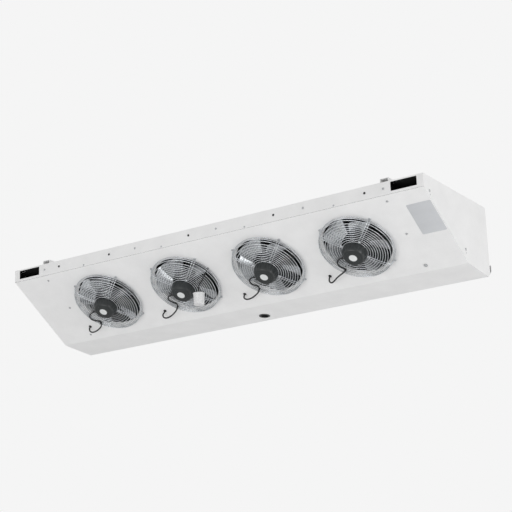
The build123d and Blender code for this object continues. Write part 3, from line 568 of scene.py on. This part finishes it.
probe_cup = piece("probe_cup_wall", [skin(turned(cup_profile, 72) * mm + cup_foot)], cup_plastic,
                  replaces=("probe_cup",))
probe_low, probe_high = [np.array(corner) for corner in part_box("temperature_probe")]
probe_foot = np.array([
    (probe_low[0] + probe_high[0]) / 2, (probe_low[1] + probe_high[1]) / 2, probe_low[2]])
probe_length = (probe_high[2] - probe_low[2]) / mm
probe_radius = (probe_high[0] - probe_low[0]) / 2 / mm
tip_turn = np.linspace(0.15, 0.5 * pi, 7)
tip = np.c_[probe_radius * np.sin(tip_turn), probe_radius * (1 - np.cos(tip_turn))]
boot = [(probe_radius, probe_length - 18), (probe_radius - 0.5, probe_length - 16)]
for rib in range(4):
    level = probe_length - 15 + 3.2 * rib
    width = probe_radius - 0.5 - 0.3 * rib
    boot += [(width, level), (width, level + 1.8), (width - 0.5, level + 2.1),
             (width - 0.5, level + 2.9)]
boot += [(probe_cable_diameter / 2 + 0.6, probe_length - 1),
         (probe_cable_diameter / 2 + 0.2, probe_length)]
sleeve = turned(np.concatenate([tip, boot]), 40) * mm + probe_foot
probe = piece("probe_sleeve", [skin(sleeve)], rubber,
              replaces=("temperature_probe",))
probe_top = probe_foot + np.array([0, 0, probe_length * mm])
probe_controls = np.concatenate([
    on_panel(probe_route, fan_centres[1]), [probe_top + np.array([0, 0, 14 * mm]), probe_top]])
probe_line = cable("probe_cable_line", probe_controls, probe_cable_diameter, "probe_cable")
print("cup", round(cup_height, 1), "mm high, probe", round(probe_length, 1), "mm long")

# %% [markdown]
# ## Wire guards
# The guard is a basket of plated wire rings, resistance-welded onto four double arms. Each arm
# is one wire: it runs out over the dome, down to the panel, round its screw and back. The rings
# follow a dome that is nearly flat in the middle and steep at the rim. A swept circle gives
# every wire its real roundness, which a row of primitive rings would not for the arms.

# %% Guards
guard_radius = 145.0
ring_wire, arm_wire = 2.7, 2.5
foot_level, dome_rise = 8.0, 28.0
dome_power = 10
inner_ring, outer_ring = 49.0, 141.0
ring_count = 11
foot_circle, arm_gap = 149.0, 9.0


def dome(radius):
    """Height of the wires: the foot level plus the rise times the root of one less the tenth
    power of the radius over the guard's radius."""
    share = np.clip(np.asarray(radius, float) / guard_radius, 0, 1)
    return foot_level + dome_rise * np.sqrt(1 - share ** dome_power)


def ring_path(radius, level, steps=128):
    """A level circle."""
    angle = np.linspace(0, 2 * pi, steps, endpoint=False)
    return np.stack([radius * np.cos(angle), radius * np.sin(angle), np.full(steps, level)], -1)


def arm_path():
    """Out along the dome, a quick bend down the wall to the panel, half a turn round the screw,
    and the same way back on the other side."""
    reach = np.concatenate([
        np.linspace(inner_ring - 2.5, 128, 20), np.linspace(130, outer_ring, 9)])
    level = dome(reach) + (ring_wire + arm_wire) / 2 - 0.4
    wall = np.array([
        (143.6, 19.0), (145.6, 13.0), (146.6, 8.0), (147.2, 4.4), (147.9, 2.2), (148.6, 1.5)])
    run = np.concatenate([np.c_[reach, level], wall])
    half_gap = arm_gap / 2
    side = np.full(len(run), -half_gap)
    outward = np.c_[run[:, 0], side, run[:, 1]]
    turn = np.linspace(-pi / 2, pi / 2, 13)[1:-1]
    loop = np.c_[foot_circle + half_gap * np.cos(turn), half_gap * np.sin(turn),
                 np.full(len(turn), arm_wire / 2)]
    return np.concatenate([outward, loop, (outward * [1, -1, 1])[::-1]])


ring_radii = np.linspace(inner_ring, outer_ring, ring_count)
wall_rings = [(143.4, 13.4), (143.9, 5.2)]
ring_places = [(radius, float(dome(radius))) for radius in ring_radii] + wall_rings
guard_grids = [(wire(ring_path(radius, level), ring_wire / 2, ring=True), True)
               for radius, level in ring_places]
arm_grid = wire(arm_path(), arm_wire / 2)
guard_grids += [(spun(arm_grid, -radians(45 + 90 * quarter)), False) for quarter in range(4)]
for index, centre in enumerate(fan_centres):
    piece(f"guard_wires_{index + 1}",
          [skin(on_panel(grid, centre), ring) for grid, ring in guard_grids],
          plated_wire, replaces=(f"guard_{index + 1}",), smooth_angle=80)
quads = sum(len(skin(grid, ring)[1]) for grid, ring in guard_grids)
print("guard rings", len(ring_places), "faces each", quads)

# %% [markdown]
# ## Motors
# Each motor is a shallow die-cast pot that stands on the guard's middle ring, open end down. Its
# wall tapers to a flat face, with cooling ribs round it and a boss for the cable. Four plated
# tabs on the guard's inner ring take its screws. The pot and its ribs are one turned surface
# whose radius swells at each rib.

# %% Motors
motor_seat = 37.25
motor_top = 71.25
motor_rear = 25.25
rib_count, rib_half_width, wall_radius = 24, 1.1, 44.0
rib_foot_radius, rib_top_radius = 47.6, 42.2
ear_circle, ear_radius, ear_thickness = 53.5, 5.0, 2.4
motor_steps = np.array([
    (20.0, motor_rear), (38.5, motor_rear), (40.0, motor_rear + 1.5), (40.0, motor_seat - 0.2),
    (46.8, motor_seat - 0.2), (48.0, motor_seat + 1.0), (48.0, motor_seat + 6.4),
    (47.4, motor_seat + 7.6), (46.6, motor_seat + 8.2), (45.6, motor_seat + 12.0),
    (44.4, motor_seat + 16.0), (43.2, motor_seat + 20.0), (42.0, motor_seat + 24.0),
    (40.8, motor_seat + 27.6), (39.6, motor_top - 4.4), (38.2, motor_top - 2.6),
    (36.4, motor_top - 1.2), (33.6, motor_top - 0.5), (30.0, motor_top - 0.3),
    (29.2, motor_top - 1.2), (27.0, motor_top - 1.2), (26.2, motor_top - 0.3), (20.0, motor_top),
])


def ribbed(profile, sides):
    """The turned profile with its radius raised at each rib: a smooth hump across the rib, as
    high as the rib stands over the wall at that level, up to a constant outer slope."""
    grid = turned(profile, sides)
    angle = np.linspace(0, 2 * pi, sides, endpoint=False)
    nearest = (angle * rib_count / (2 * pi) + 0.5) % 1 - 0.5
    across = np.abs(nearest) * 2 * pi / rib_count * wall_radius
    hump = np.clip(1.6 - across / rib_half_width, 0, 1)
    level = profile[:, 1:]
    stand = np.clip((motor_top - 5 - level) / 4, 0, 1) * np.clip(level - motor_seat - 7, 0, 1)
    radius = profile[:, :1]
    outer = np.interp(level, [motor_seat + 8, motor_top - 6], [rib_foot_radius, rib_top_radius])
    raised = radius + np.clip(outer - radius, 0, None) * stand * hump
    scale = raised / radius
    return grid * np.stack([scale, scale, np.ones_like(scale)], -1)


def lug(reach, radius, low, high):
    """A screw tab: an outline that is round about its screw and runs back to the wall, raised in
    three steps so that its edges are soft."""
    turn = np.linspace(-pi / 2, pi / 2, 17)
    outline = np.concatenate([
        np.c_[reach + radius * np.cos(turn), radius * np.sin(turn)],
        [(40, radius + 3), (40, -radius - 3)]])
    centre = np.array([46.0, 0])
    rows = []
    for level, shrink in ((low, 0.92), (low + 0.7, 1.0), (high - 0.7, 1.0), (high, 0.92)):
        rows.append(np.c_[centre + (outline - centre) * shrink, np.full(len(outline), level)])
    return np.array(rows)


pot = ribbed(motor_steps, 288)
ears = [spun(lug(ear_circle, ear_radius, motor_seat, motor_seat + ear_thickness),
             -radians(45 + 90 * quarter)) for quarter in range(4)]
boss_profile = [(6.2, 0), (6.2, 6.0), (5.4, 6.8), (5.4, 8.0), (5.9, 8.4), (5.6, 11.0), (5.0, 11.4),
                (5.0, 12.4), (5.3, 12.8), (4.9, 15.2), (4.3, 15.6), (4.3, 16.4), (4.5, 16.8),
                (3.9, 19.0), (3.3, 19.4)]
boss = turned(boss_profile, 32) @ np.array([[0, 1, 0], [0, 0, 1], [1, 0, 0]])
boss = boss * [-1, -1, 1] + [-41.5, cable_start[1], cable_start[2]]
label_profile = [(13.7, 0), (15.2, 0), (15.4, 0.15), (15.3, 0.32), (14.9, 0.4), (9.0, 0.42)]
label = turned(label_profile, 64) + [0, 0, motor_top]
for index, centre in enumerate(fan_centres):
    piece(f"motor_housing_{index + 1}", [skin(on_panel(pot, centre))], enamel,
          replaces=(f"motor_{index + 1}",), smooth_angle=32)
    piece(f"motor_tabs_{index + 1}", [skin(on_panel(grid, centre)) for grid in ears], plated_wire,
          smooth_angle=32)
    piece(f"motor_cable_boot_{index + 1}", [skin(on_panel(boss, centre))], rubber)
    piece(f"motor_label_{index + 1}", [skin(on_panel(label, centre))], label_film)
print("motors", len(fan_centres), "ribs each", rib_count)

# %% [markdown]
# ## Impellers
# Five bowed blades are pressed from bright aluminium sheet and riveted to a hub. A blade's
# section turns flatter and grows longer towards the tip, and the tip follows the throat of the
# panel. The surface is a function of radius and of the place along the chord.

# %% Impellers
blade_count = 5
tip_radius, root_radius, hub_radius = 127.0, 29.0, 33.0
root_chord, tip_chord = 74.0, 122.0
root_pitch, tip_pitch = 34.0, 21.0
root_bow, tip_bow = 7.0, 9.0
blade_sheet_thickness, blade_lift = 1.6, -8.0
corner_radius, edge_power = 17.0, 24
start_step = 17


def blade(radial=26, around=20):
    """At each radius a bowed section: the chord and the pitch go evenly from root to tip, the
    bow is a parabola, and corners are rounded by a circle. Points lie on circles about the axis
    towards the tip. The section runs out along one face and back along the other."""
    share = np.sin(np.linspace(0, pi / 2, radial))[:, None]
    radius = root_radius + (tip_radius - root_radius) * share
    chord = root_chord + (tip_chord - root_chord) * share
    pitch = np.radians(root_pitch + (tip_pitch - root_pitch) * share)
    bow = root_bow + (tip_bow - root_bow) * share
    from_tip = np.clip(tip_radius - radius, 0, corner_radius)
    cut = corner_radius - np.sqrt(corner_radius ** 2 - (corner_radius - from_tip) ** 2)
    half_chord = chord / 2 - cut
    place = np.cos(np.linspace(0, pi, around))[None, :]
    along = np.concatenate([place, place[:, ::-1]], 1) * half_chord
    whole = along / (chord / 2)
    face = np.concatenate([np.full((1, around), 0.5), np.full((1, around), -0.5)], 1)
    edge = np.sqrt(np.clip(1 - (np.abs(along) / half_chord) ** edge_power, 0.1, 1))
    height = bow * (1 - whole ** 2) + blade_sheet_thickness * (0.5 + face * edge)
    sideways = along * np.cos(pitch) - height * np.sin(pitch)
    upward = along * np.sin(pitch) + height * np.cos(pitch) + blade_lift
    curve = np.sqrt(np.clip(1 - (sideways / np.maximum(radius, 80)) ** 2, 0, 1))
    outward = radius * ((1 - share) + share * curve)
    return np.stack([outward, sideways, upward], -1)


hub_low = blade_lift - 13.0
hub_high = blade_lift + 13.0
hub_profile = [
    (12.0, hub_low), (29.0, hub_low), (31.5, hub_low + 0.8), (32.8, hub_low + 2.6),
    (hub_radius, hub_low + 4), (hub_radius, hub_high - 5), (32.6, hub_high - 2.6),
    (31.2, hub_high - 0.9), (29.0, hub_high),
    (18.0, hub_high), (16.6, hub_high - 0.4), (15.4, hub_high), (10.4, hub_high + 0.2),
    (10.0, hub_high + 0.8), (10.0, hub_high + 4.4), (9.4, hub_high + 5), (4.2, hub_high + 5),
    (4.0, hub_high + 5.4), (4.0, motor_rear + 14.0), (3.4, motor_rear + 15.0),
]


def mark_reach(mesh, centre):
    """Writes each point's distance from the fan's axis, in mm, to the mesh. The distance is the
    length of the way from the centre less its part along the axis."""
    points = np.zeros(len(mesh.vertices) * 3)
    mesh.vertices.foreach_get("co", points)
    way = points.reshape(-1, 3) - centre
    reach = np.linalg.norm(way - (way @ out_way)[:, None] * out_way, axis=1) / mm
    mesh.attributes.new("reach", "FLOAT", "POINT").data.foreach_set("value", reach)


blade_grid = blade()
rivet_profile = [(3.0, 0), (3.4, 0.4), (3.3, 1.2), (2.6, 1.9), (1.4, 2.3), (0.5, 2.4)]
rivet = turned(rivet_profile, 16)
rivet_circle = 24.0
for index, (body, centre) in enumerate(zip(fan_bodies, fan_centres)):
    start_turn = radians(start_step * index)
    turns = [start_turn + 2 * pi / blade_count * number for number in range(blade_count)]
    blades = [skin(on_panel(spun(blade_grid, turn), centre)) for turn in turns]
    hub = skin(on_panel(turned(hub_profile, 64), centre))
    rivets = [skin(on_panel(spun(rivet + [rivet_circle, 0, hub_high - 0.2], turn), centre))
              for turn in turns]
    wheel = piece(f"impeller_blades_{index + 1}", [*blades, hub, *rivets], blade_sheet,
                  body=body, replaces=(f"impeller_{index + 1}",),
                  smooth_angle=35)
    mark_reach(wheel.data, centre)
print("blades", blade_count * len(fan_centres))

# %% [markdown]
# ## Screws
# Casing, guards and motors are held by pan-head screws with a cross recess. A head is a turned
# dome, and the recess is a dip in its height where the point lies near one of two crossed lines.
# Five places of the strip's row hold black plugs, one panel screw has a wide flange, and a small
# rivet sits below each screw of the end covers. All the heads of one kind are one object.

# %% Screws
def pan_head(radius, height, sides=32):
    """Height over the plane: an upright edge, then a quarter ellipse to the middle, less a
    cross-shaped dip that ends at three fifths of the radius."""
    turn = np.linspace(0, pi / 2, 6)
    edge = np.array([(0.94 * radius, 0.0), (radius, 0.12 * height), (radius, 0.4 * height)])
    top = np.c_[radius * np.cos(turn), height * (0.4 + 0.6 * np.sin(turn))][1:-1]
    inner = np.array([(share * radius, height * 0.995) for share in (0.26, 0.16, 0.07)])
    grid = turned(np.concatenate([edge, top, inner]), sides)
    flat = np.abs(grid[..., :2])
    near = np.clip(1.5 - flat.min(-1) / (0.09 * radius), 0, 1)
    inside = np.clip((0.62 * radius - flat.max(-1)) / (0.1 * radius), 0, 1)
    grid[..., 2] -= 0.55 * height * near * inside
    return grid


def heads(name, places, radius, height, node, material=plated_screw):
    """Pan heads at several places, each a centre with its two in-plane ways and its outward way."""
    grid = pan_head(radius, height) * mm
    skins = []
    for number, (centre, ways) in enumerate(places):
        skins.append(skin(spun(grid, 0.7 * number) @ np.asarray(ways, float) + centre))
    return piece(name, skins, material, replaces=(node,), smooth_angle=50)


rail_low, rail_high = [np.array(corner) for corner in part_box("hanging_rail_right")]
rail_x = (rail_low[0] + rail_high[0]) / 2
strip_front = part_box("front_strip")[0][1]
strip_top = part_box("top_casing")[1][2]
strip_height = 50 * mm
front_ways = [(1, 0, 0), (0, 0, 1), (0, -1, 0)]
strip_x = [centre[0] + side * fan_pitch / 3 * mm for centre in fan_centres for side in (-1, 1)]
plugged = [strip_x[0]] + strip_x[1::2]
strip_level = strip_top - strip_height / 2
plug_places = [((x, strip_front, strip_level), front_ways) for x in plugged]
strip_places = [((x, strip_front, strip_level), front_ways)
                for x in strip_x + [-rail_x, rail_x] if x not in plugged]
fold_places = [((centre[0], strip_front, strip_top - strip_height + 6 * mm), front_ways)
               for centre in fan_centres]
panel_middle = fan_centres[0] * [0, 1, 1]
fan_down = 192.5
panel_downs = (29, 190, 352)
panel_places = [(on_panel((side * rail_x / mm, fan_down - down, 0), panel_middle), panel_axes)
                for side in (-1, 1) for down in panel_downs]
cover_points = [(43, 56), (305, 210)]
half_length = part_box("end_cover_right")[1][0]
cover_places = [
    ((side * half_length, strip_front + back * mm, strip_top - down * mm),
     [(0, side, 0), (0, 0, 1), (side, 0, 0)])
    for side in (-1, 1) for back, down in cover_points
]
rivet_step = np.array([0, 4, -13]) * mm
rivet_places = [(np.array(centre) + rivet_step, ways) for centre, ways in cover_places]
corner_turns = [radians(45 + 90 * quarter) for quarter in range(4)]


def corner_places(circle, level):
    """Places on a circle about each fan, at the four corner angles and a level over the panel."""
    return [(on_panel((circle * cos(turn), circle * sin(turn), level), centre), panel_axes)
            for centre in fan_centres for turn in corner_turns]


foot_places = corner_places(foot_circle, arm_wire)
ear_places = corner_places(ear_circle, motor_seat + ear_thickness)
heads("strip_screw_heads", strip_places, 4.5, 2.6, "strip_screws")
heads("strip_screw_plugs", plug_places, 4.5, 2.2, "strip_screws", rubber)
heads("fold_screw_heads", fold_places, 3.8, 1.8, "fold_screws")
heads("panel_screw_heads", panel_places[:-1], 4.5, 2.6, "panel_screws")
heads("panel_flanged_head", panel_places[-1:], 7.5, 3.0, "panel_screws")
heads("cover_screw_heads", cover_places, 5.2, 2.6, "cover_screws")
heads("cover_rivet_heads", rivet_places, 2.2, 1.0, "cover_screws")
heads("guard_screw_heads", foot_places, 4.0, 2.4, "guard_screws")
heads("motor_screw_heads", ear_places, 3.6, 2.4, "motor_screws")
on_casing = strip_places + plug_places + fold_places + panel_places + cover_places
print("screw heads on the casing", len(on_casing))

# %% [markdown]
# ## The fin pack
# The coil's fins are thin corrugated aluminium plates with a few millimetres between them. The
# solids stand for them with thicker, wider-set plates. Here each fin is a wavy strip: its
# middle line goes up and down across the depth, and the two faces follow it.

# %% Fins
fin_low, fin_high = [np.array(corner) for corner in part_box("coil_fins")]
fin_spacing, fin_sheet = 6.0, 0.35
fin_wave, fin_waves = 0.9, 9
fin_columns = 2 * fin_waves + 1
fin_count = int((fin_high[0] - fin_low[0]) / (fin_spacing * mm)) + 1
depth = np.linspace(fin_low[1], fin_high[1], fin_columns)
swing = fin_wave * mm * np.where(np.arange(fin_columns) % 2, 1, -1)
loop_x = np.concatenate([swing + fin_sheet / 2 * mm, (swing - fin_sheet / 2 * mm)[::-1]])
loop_y = np.concatenate([depth, depth[::-1]])
fin_steps = np.arange(fin_count) - (fin_count - 1) / 2
fin_starts = (fin_low[0] + fin_high[0]) / 2 + fin_steps * fin_spacing * mm
fin_starts = np.clip(fin_starts, fin_low[0] + fin_wave * mm, fin_high[0] - fin_wave * mm)
fin_skins = []
for start in fin_starts:
    outline = np.stack([loop_x + start, loop_y], -1)
    rows = [np.c_[outline, np.full(len(outline), level)] for level in (fin_low[2], fin_high[2])]
    fin_skins.append(skin(np.array(rows)))
piece("fin_pack", fin_skins, fin_stock, replaces=("coil_fins",), smooth_angle=10)
print("fins", fin_count)

# %% [markdown]
# ## The rating plate
# A foil plate is stuck on the panel near the right end. It is left blank. Its outline is a
# rectangle with rounded corners, raised by its own thickness with a soft edge.

# %% Rating plate
plate_low, plate_high = [np.array(corner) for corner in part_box("rating_plate")]
plate_centre = (plate_low + plate_high) / 2
plate_size = (98.0, 145.0, 0.6)


def rounded_plate(size, corner=5.0, steps=8):
    """Four quarter circles joined by straight sides, in three levels: foot, shoulder and top."""
    turn = np.linspace(0, pi / 2, steps)
    quarters = []
    for number, (across, upward) in enumerate(((1, 1), (-1, 1), (-1, -1), (1, -1))):
        angle = turn + number * pi / 2
        quarters.append(np.c_[across * (size[0] / 2 - corner) + corner * np.cos(angle),
                              upward * (size[1] / 2 - corner) + corner * np.sin(angle)])
    outline = np.concatenate(quarters)
    rows = []
    for level, inset in ((-size[2] / 2, 0.0), (size[2] / 4, 0.0), (size[2] / 2, 0.3)):
        share = 1 - 2 * inset / np.array(size[:2])
        rows.append(np.c_[outline * share, np.full(len(outline), level)])
    return np.array(rows)


piece("rating_plate_foil", [skin(on_panel(rounded_plate(plate_size), plate_centre))], foil_plate,
      replaces=("rating_plate",), smooth_angle=30)
print("plate", plate_size)

# %% [markdown]
# ## Floor, light and air
# The unit hangs at the ceiling, so the floor is 2.4 m below it. The room is plain and pale. A
# wide soft lamp stands low in front, another beside the right end, a weak one low behind and one
# above. The background is the world's colour, and the light that the world gives is weaker.

# %% Stage and lights
floor_level, floor_reach = -2.4, 9.0
floor_mesh = bpy.data.meshes.new("floor")
floor_corners = [(-1, -1), (1, -1), (1, 1), (-1, 1)]
floor_points = [(x * floor_reach, y * floor_reach, floor_level) for x, y in floor_corners]
floor_mesh.from_pydata(floor_points, [], [(0, 1, 2, 3)])
floor = bpy.data.objects.new("floor", floor_mesh)
bpy.context.scene.collection.objects.link(floor)
pale_floor = grained("pale sealed floor", "#F5F5F5", "#F1F1F1", 4.0, (0.7, 0.8), 0.01, patch=400.0)
floor_mesh.materials.append(pale_floor)

world = bpy.data.worlds.new("pale room")
bpy.context.scene.world = world
world.use_nodes = True
air = world.node_tree
air.nodes.clear()
seen = add(air, "ShaderNodeLightPath")
shown = add(air, "ShaderNodeMath", [
    (0, seen.outputs["Is Camera Ray"]), (1, seen.outputs["Is Glossy Ray"])], operation="MAXIMUM")
shown = add(air, "ShaderNodeMath", [
    (0, shown.outputs[0]), (1, seen.outputs["Is Transmission Ray"])], operation="MAXIMUM")
given = add(air, "ShaderNodeBackground", [("Color", linear("#F2F2F2")), ("Strength", 0.64)])
looked = add(air, "ShaderNodeBackground", [("Color", linear("#F5F5F5")), ("Strength", 1.0)])
mixed = add(air, "ShaderNodeMixShader", [
    (0, shown.outputs[0]), (1, given.outputs[0]), (2, looked.outputs[0])])
add(air, "ShaderNodeOutputWorld", [("Surface", mixed.outputs[0])])


def soft_lamp(name, place, target, size, power):
    """A square lamp that faces its target: its back way is the line from the target to it."""
    data = bpy.data.lights.new(name, "AREA")
    data.size = size
    data.energy = power
    lamp = bpy.data.objects.new(name, data)
    bpy.context.scene.collection.objects.link(lamp)
    away = np.array(place, float) - np.array(target, float)
    away /= np.linalg.norm(away)
    level = np.cross([0, 0, 1.0], away)
    level /= np.linalg.norm(level)
    matrix = np.eye(4)
    matrix[:3, :3] = np.stack([level, np.cross(away, level), away], 1)
    matrix[:3, 3] = place
    lamp.matrix_world = matrix.T.tolist()
    return lamp


unit_centre = (0, 0, -0.17)
soft_lamp("low front lamp", (-0.2, -3.6, -2.1), unit_centre, 2.6, 68)
soft_lamp("right end lamp", (4.2, -0.8, -0.6), unit_centre, 2.0, 37)
soft_lamp("low rear lamp", (2.6, 1.6, -2.1), unit_centre, 2.0, 14)
soft_lamp("ceiling lamp", (0.4, 0.6, 3.0), unit_centre, 3.0, 40)

# %% View settings
bpy.context.scene.view_settings.view_transform = "Standard"
